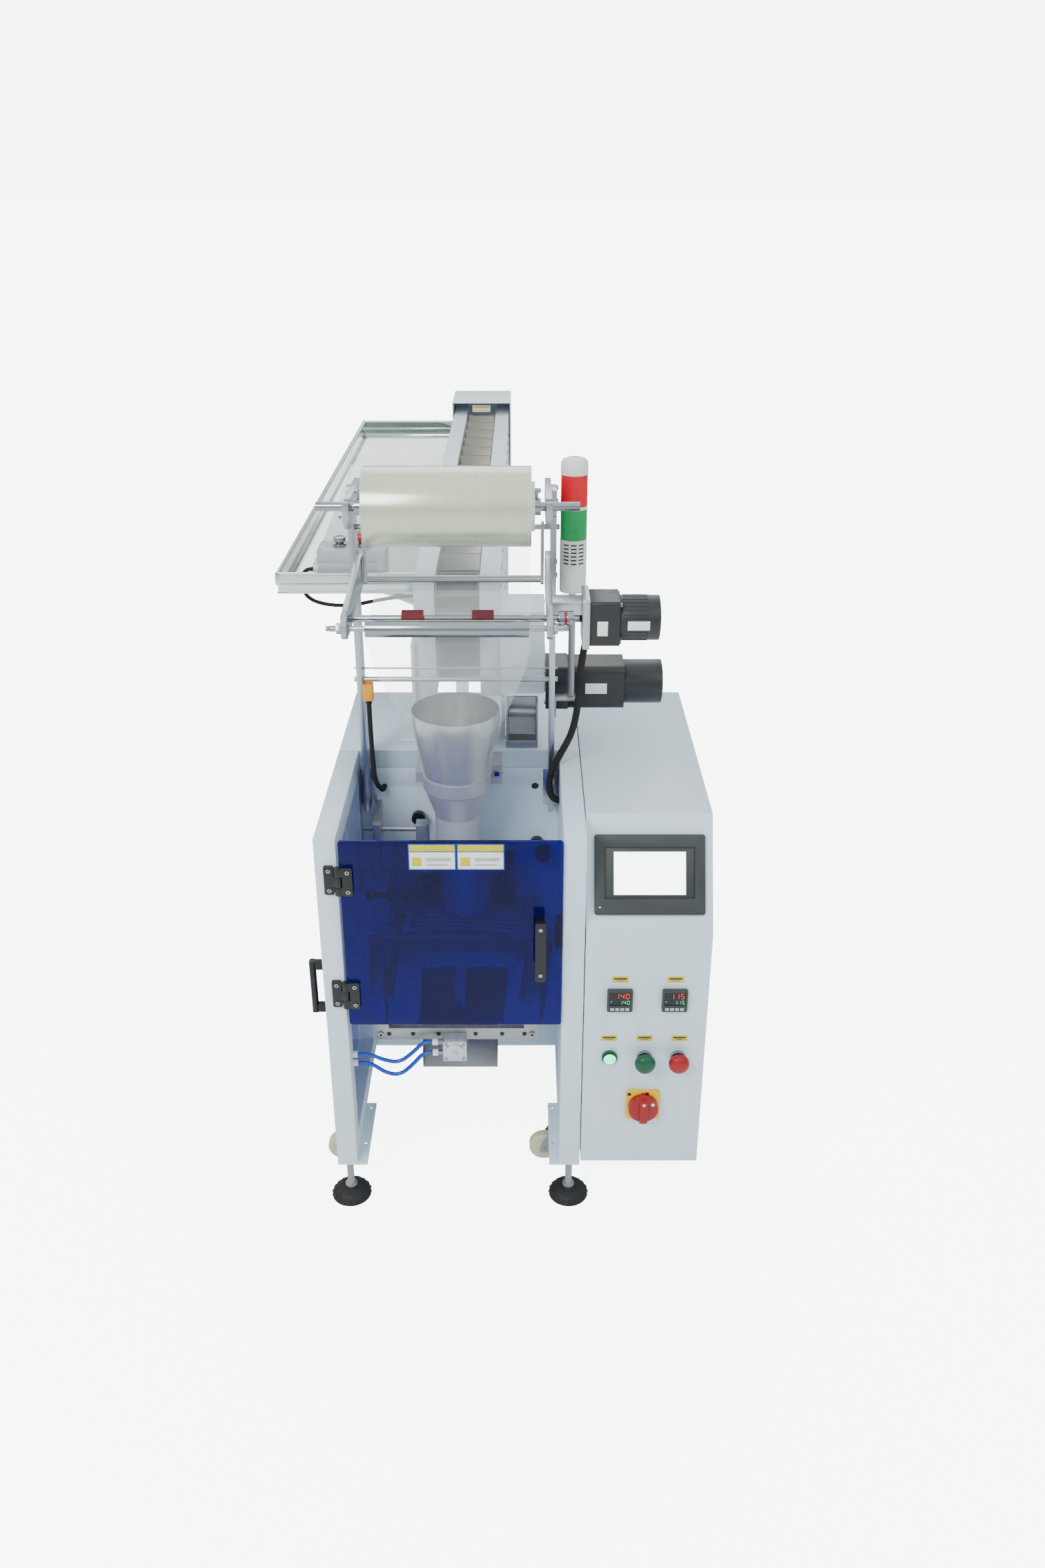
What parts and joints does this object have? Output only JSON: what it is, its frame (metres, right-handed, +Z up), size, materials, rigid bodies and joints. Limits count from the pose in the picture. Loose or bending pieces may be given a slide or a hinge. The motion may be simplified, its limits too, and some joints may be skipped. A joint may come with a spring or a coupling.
{
  "type": "vertical form fill sealer",
  "caption": "Free-standing vertical form fill sealer with blue guard door, film roll stand, sloped operator cabinet and a chain-bucket feeder with sorting tray behind.",
  "frame": {"origin": "on the floor, centre of the bounding box", "axes": "+Z up, +Y from the operator side back along the conveyor, +X to the operator's right"},
  "size_m": [0.857, 2.456, 1.458],
  "materials": {
    "pale_paint": "powder coat",
    "white_paint": "powder coat",
    "black_rubber": "matte",
    "zinc_steel": "satin",
    "grey_plastic": "moulded",
    "yellow_plastic": "moulded",
    "black_plastic": "moulded",
    "brushed_steel": "brushed",
    "black_paint": "satin",
    "white_plastic": "moulded",
    "red_lens": "ribbed lens",
    "polished_steel": "mirror polish",
    "aluminium": "anodised",
    "dark_steel": "satin",
    "clear_film": "clear film",
    "blue_tube": "polyurethane",
    "blue_acrylic": "tinted acrylic",
    "film_roll": "wound film",
    "chrome": "hard chrome",
    "green_plastic": "moulded",
    "red_plastic": "moulded",
    "bucket_steel": "brushed",
    "white_nylon": "moulded"
  },
  "bodies": {
    "root": {"left_side_frame": "pale_paint", "right_side_frame": "pale_paint", "recess_back_wall": "pale_paint", "top_plate": "pale_paint", "rear_covers": "pale_paint", "base_plates": "pale_paint", "leveling_feet": "black_rubber", "control_cabinet": "pale_paint", "electrical_panel": "zinc_steel", "hmi_panel": "grey_plastic", "temperature_controllers": "grey_plastic", "panel_bezels": "yellow_plastic", "door_hinges": "black_plastic", "film_stand": "brushed_steel", "unwind_motor": "black_paint", "tower_light_base": "white_plastic", "tower_light_lenses": "red_lens", "forming_set": "polished_steel", "seal_frame": "zinc_steel", "seal_cylinder": "aluminium", "discharge_chute": "dark_steel", "conveyor_rails": "white_paint", "conveyor_covers": "white_paint", "conveyor_motor": "black_paint", "conveyor_supports": "white_paint", "sorting_tray": "polished_steel", "tray_control_box": "grey_plastic", "film_web": "clear_film", "film_sleeve": "clear_film", "sensor_cable": "black_rubber", "main_conduit": "black_rubber", "tray_cable": "black_rubber", "upper_air_tube": "blue_tube", "lower_air_tube": "blue_tube"},
    "guard_door": {"guard_door": "blue_acrylic"},
    "side_guard": {"side_guard": "blue_acrylic"},
    "film_roll": {"film_roll": "film_roll", "roll_shaft": "brushed_steel"},
    "dancer": {"dancer_frame": "brushed_steel"},
    "front_roller": {"front_roller": "chrome"},
    "feed_roller": {"feed_roller": "brushed_steel"},
    "front_jaw": {"front_jaw": "zinc_steel"},
    "rear_jaw": {"rear_jaw": "zinc_steel"},
    "seal_bar": {"vertical_seal_bar": "zinc_steel"},
    "pull_wheel_left": {"pull_wheel_left": "black_rubber"},
    "pull_wheel_right": {"pull_wheel_right": "black_rubber"},
    "start_button": {"start_button": "green_plastic"},
    "emergency_stop": {"emergency_stop": "red_plastic"},
    "main_switch": {"main_switch_handle": "red_plastic"},
    "tray_start": {"tray_start_button": "chrome"},
    "tray_stop": {"tray_stop_button": "red_plastic"},
    "bucket_run": {"upper_buckets": "bucket_steel"},
    "head_sprockets": {"head_sprockets": "bucket_steel"},
    "tail_sprockets": {"tail_sprockets": "zinc_steel"},
    "caster_fork_left": {"caster_fork_left": "zinc_steel"},
    "caster_fork_right": {"caster_fork_right": "zinc_steel"},
    "caster_wheel_left": {"caster_wheel_left": "white_nylon"},
    "caster_wheel_right": {"caster_wheel_right": "white_nylon"},
    "rear_wheel_left": {"rear_wheel_left": "white_nylon"},
    "rear_wheel_right": {"rear_wheel_right": "white_nylon"}
  },
  "joints": [
    {"name": "guard_door_hinge", "type": "hinge", "parent": "root", "child": "guard_door", "pos_m": [-0.2535, -1.196, 0.64], "axis": [0, 0, -1], "range_deg": [0, 110]},
    {"name": "side_guard_hinge", "type": "hinge", "parent": "root", "child": "side_guard", "pos_m": [-0.3025, -0.836, 0.475], "axis": [0, 0, -1], "range_deg": [0, 100]},
    {"name": "film_roll_spin", "type": "hinge", "parent": "root", "child": "film_roll", "pos_m": [-0.052, -0.978, 1.389], "axis": [1, 0, 0], "continuous": true},
    {"name": "dancer_swing", "type": "hinge", "parent": "root", "child": "dancer", "pos_m": [-0.052, -0.838, 1.316], "axis": [1, 0, 0], "range_deg": [-15, 15], "deforming": ["film_web"]},
    {"name": "feed_roller_spin", "type": "hinge", "parent": "root", "child": "feed_roller", "pos_m": [-0.052, -1.062, 1.214], "axis": [1, 0, 0], "continuous": true},
    {"name": "front_roller_spin", "type": "hinge", "parent": "root", "child": "front_roller", "pos_m": [-0.052, -1.092, 1.206], "axis": [1, 0, 0], "continuous": true},
    {"name": "front_jaw_slide", "type": "slide", "parent": "root", "child": "front_jaw", "axis": [0, 1, 0], "range_m": [0, 0.028]},
    {"name": "rear_jaw_slide", "type": "slide", "parent": "root", "child": "rear_jaw", "axis": [0, -1, 0], "range_m": [0, 0.028]},
    {"name": "seal_bar_slide", "type": "slide", "parent": "root", "child": "seal_bar", "axis": [1, 0, 0], "range_m": [0, 0.0115]},
    {"name": "pull_left_spin", "type": "hinge", "parent": "root", "child": "pull_wheel_left", "pos_m": [-0.1226, -0.9, 0.54], "axis": [0, 1, 0], "continuous": true},
    {"name": "pull_right_spin", "type": "hinge", "parent": "root", "child": "pull_wheel_right", "pos_m": [0.0186, -0.9, 0.54], "axis": [0, 1, 0], "continuous": true},
    {"name": "start_button_press", "type": "slide", "parent": "root", "child": "start_button", "axis": [0, 1, 0], "range_m": [0, 0.004], "stiffness_N_per_m": 500},
    {"name": "emergency_stop_press", "type": "slide", "parent": "root", "child": "emergency_stop", "axis": [0, 1, 0], "range_m": [0, 0.004], "stiffness_N_per_m": 500},
    {"name": "main_switch_turn", "type": "hinge", "parent": "root", "child": "main_switch", "pos_m": [0.3135, -1.196, 0.258], "axis": [0, 1, 0], "range_deg": [0, 90]},
    {"name": "tray_start_press", "type": "slide", "parent": "root", "child": "tray_start", "axis": [0, 0, -1], "range_m": [0, 0.004], "stiffness_N_per_m": 900},
    {"name": "tray_stop_press", "type": "slide", "parent": "root", "child": "tray_stop", "axis": [0, 0, -1], "range_m": [0, 0.004], "stiffness_N_per_m": 900},
    {"name": "bucket_run_slide", "type": "slide", "parent": "root", "child": "bucket_run", "axis": [0, -1, 0], "range_m": [0, 0.03]},
    {"name": "head_sprocket_turn", "type": "hinge", "parent": "root", "child": "head_sprockets", "pos_m": [-0.052, -0.698, 1.09], "axis": [1, 0, 0], "range_deg": [0, 34.5]},
    {"name": "tail_sprocket_turn", "type": "hinge", "parent": "root", "child": "tail_sprockets", "pos_m": [-0.052, 1.122, 1.09], "axis": [1, 0, 0], "range_deg": [0, 34.5]},
    {"name": "caster_left_swivel", "type": "hinge", "parent": "root", "child": "caster_fork_left", "pos_m": [-0.2725, -1.063, 0.09], "axis": [0, 0, 1], "continuous": true},
    {"name": "caster_right_swivel", "type": "hinge", "parent": "root", "child": "caster_fork_right", "pos_m": [0.1535, -1.063, 0.09], "axis": [0, 0, 1], "continuous": true},
    {"name": "caster_left_roll", "type": "hinge", "parent": "caster_fork_left", "child": "caster_wheel_left", "pos_m": [-0.3025, -1.063, 0.0435], "axis": [0, 1, 0], "continuous": true},
    {"name": "caster_right_roll", "type": "hinge", "parent": "caster_fork_right", "child": "caster_wheel_right", "pos_m": [0.1235, -1.063, 0.0435], "axis": [0, 1, 0], "continuous": true},
    {"name": "rear_left_roll", "type": "hinge", "parent": "root", "child": "rear_wheel_left", "pos_m": [-0.2725, -0.617, 0.0435], "axis": [1, 0, 0], "continuous": true},
    {"name": "rear_right_roll", "type": "hinge", "parent": "root", "child": "rear_wheel_right", "pos_m": [0.1535, -0.617, 0.0435], "axis": [1, 0, 0], "continuous": true}
  ],
  "couplings": [
    {"joint": "front_roller_spin", "follows": "feed_roller_spin", "ratio": -1},
    {"joint": "rear_jaw_slide", "follows": "front_jaw_slide", "ratio": 1},
    {"joint": "pull_right_spin", "follows": "pull_left_spin", "ratio": -1},
    {"joint": "head_sprocket_turn", "follows": "bucket_run_slide", "rad_per_m": 20},
    {"joint": "tail_sprocket_turn", "follows": "bucket_run_slide", "rad_per_m": 20}
  ]
}
